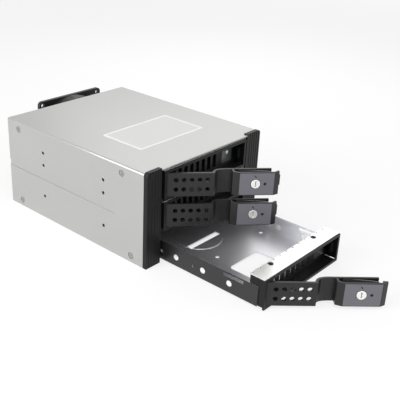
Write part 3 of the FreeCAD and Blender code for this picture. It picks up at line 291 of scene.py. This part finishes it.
def shell(outline, scales, levels, around=False):
    """Points and quads of a solid whose rings are one outline.

    Ring i is the outline times scales[i], at the height levels[i]. A scale of 0 closes
    the solid at its end, and around joins the last ring to the first.
    """
    rings, count = len(levels), len(outline)
    scales, levels = np.asarray(scales, float), np.asarray(levels, float)
    points = np.empty((rings, count, 3))
    points[:, :, :2] = scales[:, None, None] * outline[None, :, :]
    points[:, :, 2] = levels[:, None]
    ring, corner = np.meshgrid(np.arange(rings if around else rings - 1),
                               np.arange(count), indexing="ij")
    after, beside = (ring + 1) % rings, (corner + 1) % count
    quads = np.stack((ring * count + corner, after * count + corner,
                      after * count + beside, ring * count + beside), -1)
    return points.reshape(-1, 3), quads.reshape(-1, 4)


def circle(radius, sides=28):
    """Outline of a circle: radius * (cos t, sin t)."""
    t = np.arange(sides) * 2 * math.pi / sides
    return radius * np.column_stack((np.cos(t), np.sin(t)))


def rounded(width, height, radius, steps=5):
    """Outline of a rectangle about its middle with quarter-round corners.

    Each corner is its centre + radius * (cos t, sin t), with t over a quarter turn.
    """
    x, y = width / 2 - radius, height / 2 - radius
    corners = []
    for turn, centre in enumerate(((x, y), (-x, y), (-x, -y), (x, -y))):
        t = (turn + np.linspace(0, 1, steps)) * math.pi / 2
        corners.append(np.column_stack((centre[0] + radius * np.cos(t),
                                        centre[1] + radius * np.sin(t))))
    return np.vstack(corners)


def plate(width, height, radius, low, high):
    """A flat plate with rounded corners, from low to high."""
    return shell(rounded(width, height, radius), (0, 1, 1, 0), (low, low, high, high))


def pierced_plate(width, height, hole, radius, low, high):
    """A rectangular plate about the middle with one round hole.

    On the ray at angle t from the hole's centre, the edge lies where the ray first
    meets a side: the smaller of the distances to the side ahead and to the end ahead.
    """
    corners = [math.atan2(y - hole[1], x - hole[0])
               for x in (-width / 2, width / 2) for y in (-height / 2, height / 2)]
    even = np.linspace(-math.pi, math.pi, 44, endpoint=False)
    t = np.sort(np.concatenate((even, corners)))
    ray = np.column_stack((np.cos(t), np.sin(t)))
    ahead = np.sign(ray) * (width / 2, height / 2) - np.asarray(hole)
    reach = np.min(np.divide(ahead, ray, out=np.full_like(ray, 1e9),
                             where=np.abs(ray) > 1e-9), axis=1)
    inner, outer = radius * ray, reach[:, None] * ray
    points, quads = shell(inner, (1, 1, 1, 1), (low, low, high, high), around=True)
    points = points.reshape(4, -1, 3)
    points[1:3, :, :2] = outer
    points[:, :, :2] += hole
    return points.reshape(-1, 3), quads


def screw(radius, crown, rim, shank, length, turn):
    """A round-headed screw with a cross recess, its seat at height 0.

    At a distance r from its axis the head stands rim + crown * (1 - (r / radius)^2)
    high. The recess sinks where the smaller of |x| and |y|, in axes turned with the
    screw, is within the cross's half width and r within its reach, with sloping sides.
    """
    steps = np.concatenate((np.linspace(0, 0.6, 11), np.linspace(0.7, 1, 4)))
    scales = np.concatenate((steps, (1, shank / radius, shank / radius, 0)))
    levels = np.concatenate((rim + crown * (1 - steps ** 2), (0, 0, -length, -length)))
    points, quads = shell(circle(radius, 40), scales, levels)
    x = points[:, 0] * math.cos(turn) + points[:, 1] * math.sin(turn)
    y = points[:, 1] * math.cos(turn) - points[:, 0] * math.sin(turn)
    arm = ARM * radius - np.minimum(np.abs(x), np.abs(y))
    end = REACH * radius - np.hypot(x, y)
    depth = np.clip(np.minimum(arm, end) / (SLOPE * radius) + 0.5, 0, 1)
    points[:, 2] -= np.where(points[:, 2] > 0, depth * (rim + crown) * SINK, 0)
    return points, quads


def dome(radius, height):
    """A lens: at a scale s of its rim it stands height * sqrt(1 - s^2) high."""
    steps = np.sin(np.linspace(0, 1, 7) * math.pi / 2)
    return shell(circle(radius, 24), np.append(steps, 0),
                 np.append(height * np.sqrt(1 - steps ** 2), 0))


def pin(radius, length):
    """A round pin with a rounded tip, from its foot at height 0."""
    tip = np.sin(np.linspace(1, 0, 5) * math.pi / 2)
    return shell(circle(radius, 16), np.concatenate(((0, 1), tip)), np.concatenate(
        ((0, 0), length - radius + radius * np.sqrt(1 - tip ** 2))))


def new_piece(name, shapes, material, body):
    """One mesh of several shapes, each a (shape, matrix) pair, riding on a CAD body."""
    points, quads, count = [], [], 0
    for (own_points, own_quads), matrix in shapes:
        turn = np.array(matrix)
        points.append(own_points * MM @ turn[:3, :3].T + turn[:3, 3])
        quads.append(own_quads + count)
        count += len(own_points)
    mesh = bpy.data.meshes.new(name)
    mesh.from_pydata(np.vstack(points).tolist(), [], np.vstack(quads).tolist())
    closed = bmesh.new()
    closed.from_mesh(mesh)
    bmesh.ops.remove_doubles(closed, verts=closed.verts, dist=SAME_POINT)
    bmesh.ops.recalc_face_normals(closed, faces=closed.faces)
    closed.to_mesh(mesh)
    closed.free()
    mesh.polygons.foreach_set("use_smooth", np.ones(len(mesh.polygons), bool))
    mesh.set_sharp_from_angle(angle=SMOOTH_WITHIN)
    mesh.materials.append(material)
    piece = bpy.data.objects.new(name, mesh)
    bpy.context.scene.collection.objects.link(piece)
    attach(piece, body)
    return piece


LEFT_RIGHT = (-1, 1)
cover_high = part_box("outer_cover")[1] / MM
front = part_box("front_post_left")[0][1] / MM

# Label on the cover: a blank white field with a faintly toned panel inside a margin.
LABEL_BACK, LABEL_WIDTH, LABEL_DEPTH, LABEL_MARGIN = 64, 80, 48, 2.5
LABEL_HIGH, PANEL_HIGH = 0.1, 0.13
label = facing((0, front + LABEL_BACK, cover_high[2]), (1, 0, 0), (0, 1, 0))
new_piece("blank_label", [
    (plate(LABEL_WIDTH, LABEL_DEPTH, radius=2, low=0, high=LABEL_HIGH), label)],
    PAPER, "cage")
new_piece("label_panel", [
    (plate(LABEL_WIDTH - 2 * LABEL_MARGIN, LABEL_DEPTH - 2 * LABEL_MARGIN,
           radius=0.6, low=LABEL_HIGH, high=PANEL_HIGH), label)],
    TONED_PAPER, "cage")

# Flush screws in the cover's two sides: behind the posts' front, and above the base.
COVER_SCREWS = ((165, 77), (165, 6), (29, 77), (18, 6))
COVER_SEAT = 0.62
heads = []
for side in LEFT_RIGHT:
    for number, (along, up) in enumerate(COVER_SCREWS):
        at = facing((side * (cover_high[0] - COVER_SEAT), front + along, up),
                    (0, side, 0), (0, 0, 1))
        heads.append((screw(radius=2.6, crown=0.12, rim=0.46, shank=1.5, length=4.4,
                            turn=0.5 + number * 0.9 + side), at))
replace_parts(new_piece("cover_screw_set", heads, PLATED, "cage"), "cover_screws")

# Contacts in the sockets at the rear: a tongue with seven strips, or four round pins.
SOCKET_DEPTH = 6
DATA_X, DATA_UP, DATA_STEP = -58, 20, 22.4
STRIP_PITCH, STRIP_OUT = 1.27, 0.72
POWER_X, POWER_UP, POWER_STEP, PIN_PITCH = -34, 32.75, 27.5, 5.08
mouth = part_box("data_sockets")[1][1] / MM - SOCKET_DEPTH
tongues, strips = [], []
for level in range(3):
    at = facing((DATA_X, mouth, DATA_UP + DATA_STEP * level), (-1, 0, 0), (0, 0, 1))
    tongues.append((plate(width=9.6, height=1.3, radius=0.2, low=0, high=4.6), at))
    strips += [(plate(width=0.7, height=0.2, radius=0.05, low=0, high=4.2),
                at @ Matrix.Translation((place * STRIP_PITCH * MM, STRIP_OUT * MM, 0)))
               for place in range(-3, 4)]
new_piece("data_tongues", tongues, BLACK_ABS, "cage")
new_piece("data_contacts", strips, TIN, "cage")
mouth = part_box("power_sockets")[1][1] / MM - SOCKET_DEPTH
new_piece("power_pins", [
    (pin(radius=1.05, length=5),
     facing((POWER_X + (place - 1.5) * PIN_PITCH, mouth, POWER_UP + POWER_STEP * level),
            (-1, 0, 0), (0, 0, 1)))
    for level in range(2) for place in range(4)], TIN, "cage")

# Places on a tray: across from its middle, back from its bezel's front, up from its floor.
EAR_X, EAR_BACK, EAR_UPS = 47, 15.7, (7.5, 15)
WALL_X, WALL_BACKS, WALL_UP = 52.02, (33.9, 60.7, 89.3, 135.5), 9
STRIP_X, STRIP_BACK = 30, 12.2
LAMP_X, LAMP_BACK, LAMP_UP = 38.5, 10.2, 14.6
BEZEL_FOOT = 0.2
# Places on a latch's flat face: along from the hinge, and up from the lever's underside.
FACE_OUT, FACE_ALONG, FACE_UP = 3.3, 72.8, 10.2
DOT_ALONG = 79.6
MARK_ALONG, MARK_UP, MARK_TURN = 71.4, 16.7, -57
INLAY_HIGH = 0.08


def dress_tray(tray):
    """Small parts of one tray, its lever and its latch."""
    body, latch = f"{tray}_tray", f"{tray}_latch"
    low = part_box(f"tray_bezel_{tray}")[0] / MM
    floor = low[2] - BEZEL_FOOT
    ears = [(screw(radius=2.4, crown=0.3, rim=0.6, shank=1.0, length=0.1, turn=across + up),
             facing((across * EAR_X, low[1] + EAR_BACK, floor + up), (-1, 0, 0), (0, 0, 1)))
            for across in LEFT_RIGHT for up in EAR_UPS]
    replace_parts(new_piece(f"ear_screws_{tray}", ears, PLATED, body),
                f"bezel_screws_{tray}")
    # The wall screws' near-white heads are painted light, standing in for light seen through the
    # wall's holes.
    new_piece(f"wall_screws_painted_light_{tray}", [
        (screw(radius=2.5, crown=0.1, rim=0.45, shank=1.5, length=0.5, turn=along),
         facing((side * WALL_X, low[1] + along, floor + WALL_UP), (0, side, 0), (0, 0, 1)))
        for side in LEFT_RIGHT for along in WALL_BACKS],
        WALL_SCREW_PAINTED_LIGHT, body)
    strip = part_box(f"shield_strip_{tray}")[1][2] / MM
    new_piece(f"strip_screws_{tray}", [
        (screw(radius=2.2, crown=0.35, rim=0.25, shank=1.3, length=2.5, turn=0.4 - side),
         facing((side * STRIP_X, low[1] + STRIP_BACK, strip), (1, 0, 0), (0, 1, 0)))
        for side in LEFT_RIGHT], BLACK_SCREW, body)
    new_piece(f"lamp_lenses_{tray}", [
        (dome(radius=1.9, height=0.45),
         facing((LAMP_X, low[1] + LAMP_BACK, floor + LAMP_UP), (1, 0, 0), (0, 0, 1)))],
        LENS, body)

    # The latch's parts are in the lever's own axes, on its front face.
    hinge = JOINTS[f"{tray}_lever_hinge"]
    lever = (Matrix.Translation((*hinge["pos_m"][:2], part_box(f"lever_{tray}")[0][2]))
             @ Matrix.Rotation(math.radians(hinge["range_deg"][0]), 4, "Z"))

    def on_face(along, up, out=0):
        """Place on the latch's flat face, or out from it."""
        return lever @ facing((along, -FACE_OUT - out, up), (1, 0, 0), (0, 0, 1))

    # The inlay's hole is wider than the lock barrel, so a ring of the block's dark nylon shows
    # round the lock: painted shade for the shadow round the barrel.
    new_piece(f"latch_inlay_{tray}", [
        (pierced_plate(width=28.6, height=19.2, hole=(-1.0, 0), radius=4.25,
                       low=0, high=INLAY_HIGH), on_face(FACE_ALONG, FACE_UP))],
        INLAY, latch)
    # A small black dome on the face, right of the lock, where the face shows a dark dot.
    new_piece(f"dark_dot_{tray}", [
        (dome(radius=1.25, height=0.25), on_face(DOT_ALONG, FACE_UP, INLAY_HIGH))],
        BLACK_ABS, latch)
    tick = (on_face(MARK_ALONG, MARK_UP, INLAY_HIGH)
            @ Matrix.Rotation(math.radians(MARK_TURN), 4, "Z"))
    new_piece(f"lock_mark_{tray}", [
        (plate(width=2.6, height=0.7, radius=0.3, low=0, high=0.05), tick)],
        BLACK_ABS, latch)


for name in TRAYS:
    dress_tray(name)


# ---------------------------------------------------------------- room

ROOM_LIGHT = 0.4
SENSOR_WIDTH = 36
FLOOR_SIZE, FLOOR_DROP = 12, 0.0001
NEAR, FAR, NEAR_GLOW = 0.7, 2.0, 0.75


def seen(tree, otherwise, value):
    """A value where the eye sees a surface, directly, mirrored or through glass, and
    another value for the light that the surface sends.
    """
    path = add_node(tree, "ShaderNodeLightPath")
    direct = add_node(tree, "ShaderNodeMath", {
        0: path.outputs["Is Camera Ray"], 1: path.outputs["Is Glossy Ray"]},
        operation="MAXIMUM").outputs[0]
    any_ray = add_node(tree, "ShaderNodeMath", {
        0: direct, 1: path.outputs["Is Transmission Ray"]}, operation="MAXIMUM").outputs[0]
    return add_node(tree, "ShaderNodeMapRange", {
        "Value": any_ray, "To Min": otherwise, "To Max": value}).outputs[0]


def add_floor():
    """A wide pale floor under the part, which keeps the part's shadow, a quarter as deep.

    Where the lamps no longer reach it, from NEAR to FAR metres away, it turns white.
    """
    bpy.ops.mesh.primitive_plane_add(size=FLOOR_SIZE, location=(0, 0, -FLOOR_DROP))
    floor = bpy.context.object
    floor.name = "floor"
    paper = bpy.data.materials.new("pale_floor")
    paper.use_nodes = True
    tree = paper.node_tree
    shader = tree.nodes["Principled BSDF"]
    shader.inputs["Base Color"].default_value = srgb("f4f4f4")
    shader.inputs["Roughness"].default_value = 0.9
    shader.inputs["Specular IOR Level"].default_value = 0.1
    glow = add_node(tree, "ShaderNodeEmission", {"Color": WHITE, "Strength": 1.0})
    place = add_node(tree, "ShaderNodeTexCoord").outputs["Object"]
    away = add_node(tree, "ShaderNodeVectorMath", {0: place}, operation="LENGTH")
    share = add_node(tree, "ShaderNodeMapRange", {
        "Value": away.outputs["Value"], "From Min": NEAR, "From Max": FAR,
        "To Min": NEAR_GLOW, "To Max": 1.0}, interpolation_type="SMOOTHSTEP").outputs[0]
    amount = add_node(tree, "ShaderNodeMath", {0: seen(tree, 0.0, 1.0), 1: share},
                      operation="MULTIPLY").outputs[0]
    mixed = add_node(tree, "ShaderNodeMixShader", {
        0: amount, 1: shader.outputs[0], 2: glow.outputs[0]})
    tree.links.new(mixed.outputs[0], tree.nodes["Material Output"].inputs["Surface"])
    floor.data.materials.append(paper)


def add_light(name, place, towards, size, power):
    """A soft square area light that faces a point."""
    lamp = bpy.data.lights.new(name, "AREA")
    lamp.size = size
    lamp.energy = power
    holder = bpy.data.objects.new(name, lamp)
    holder.location = place
    aim = Vector(towards) - Vector(place)
    holder.rotation_euler = aim.to_track_quat("-Z", "Y").to_euler()
    holder.visible_camera = False
    bpy.context.scene.collection.objects.link(holder)


def add_camera(azimuth, elevation, roll, distance, target, focal, shift):
    """A camera by its angles in degrees, distance from a target, and focal length.

    focal is in image widths, so the lens is focal times the sensor's width.
    """
    a, e, r = (math.radians(angle) for angle in (azimuth, elevation, roll))
    back = Vector((math.sin(a) * math.cos(e), -math.cos(a) * math.cos(e), math.sin(e)))
    level = Vector((math.cos(a), math.sin(a), 0))
    upright = back.cross(level)
    right = level * math.cos(r) + upright * math.sin(r)
    up = upright * math.cos(r) - level * math.sin(r)
    data = bpy.data.cameras.new("camera")
    data.sensor_width = SENSOR_WIDTH
    data.lens = focal * data.sensor_width
    data.shift_x, data.shift_y = shift
    data.clip_start, data.clip_end = 0.01, 20
    camera = bpy.data.objects.new("camera", data)
    turned = Matrix((right, up, back)).transposed().to_4x4()
    camera.matrix_world = Matrix.Translation(Vector(target) + back * distance) @ turned
    bpy.context.scene.collection.objects.link(camera)
    bpy.context.scene.camera = camera


add_floor()
add_light("key", place=(-0.5, -0.75, 0.85), towards=(0, -0.05, 0.05), size=0.9, power=6)
add_light("back", place=(0.43, 0.2, 0.325), towards=(0.42, 0.17, 0), size=0.5, power=0.7)
add_light("left", place=(-1.3, 0.3, 0.6), towards=(-0.07, 0, 0.04), size=1.1, power=20)
add_light("right", place=(0.6, -1.2, 0.5), towards=(0, -0.15, 0.04), size=0.6, power=4)
add_camera(azimuth=-48.67, elevation=24.27, roll=2.14, distance=0.5801,
           target=(-0.035, front * MM, 0.0689), focal=1.78125, shift=(0.05, -0.05))

world = bpy.data.worlds.new("studio")
world.use_nodes = True
background = world.node_tree.nodes["Background"]
background.inputs["Color"].default_value = WHITE
world.node_tree.links.new(seen(world.node_tree, ROOM_LIGHT, 1.0),
                          background.inputs["Strength"])
bpy.context.scene.world = world
bpy.context.scene.view_settings.view_transform = "Standard"
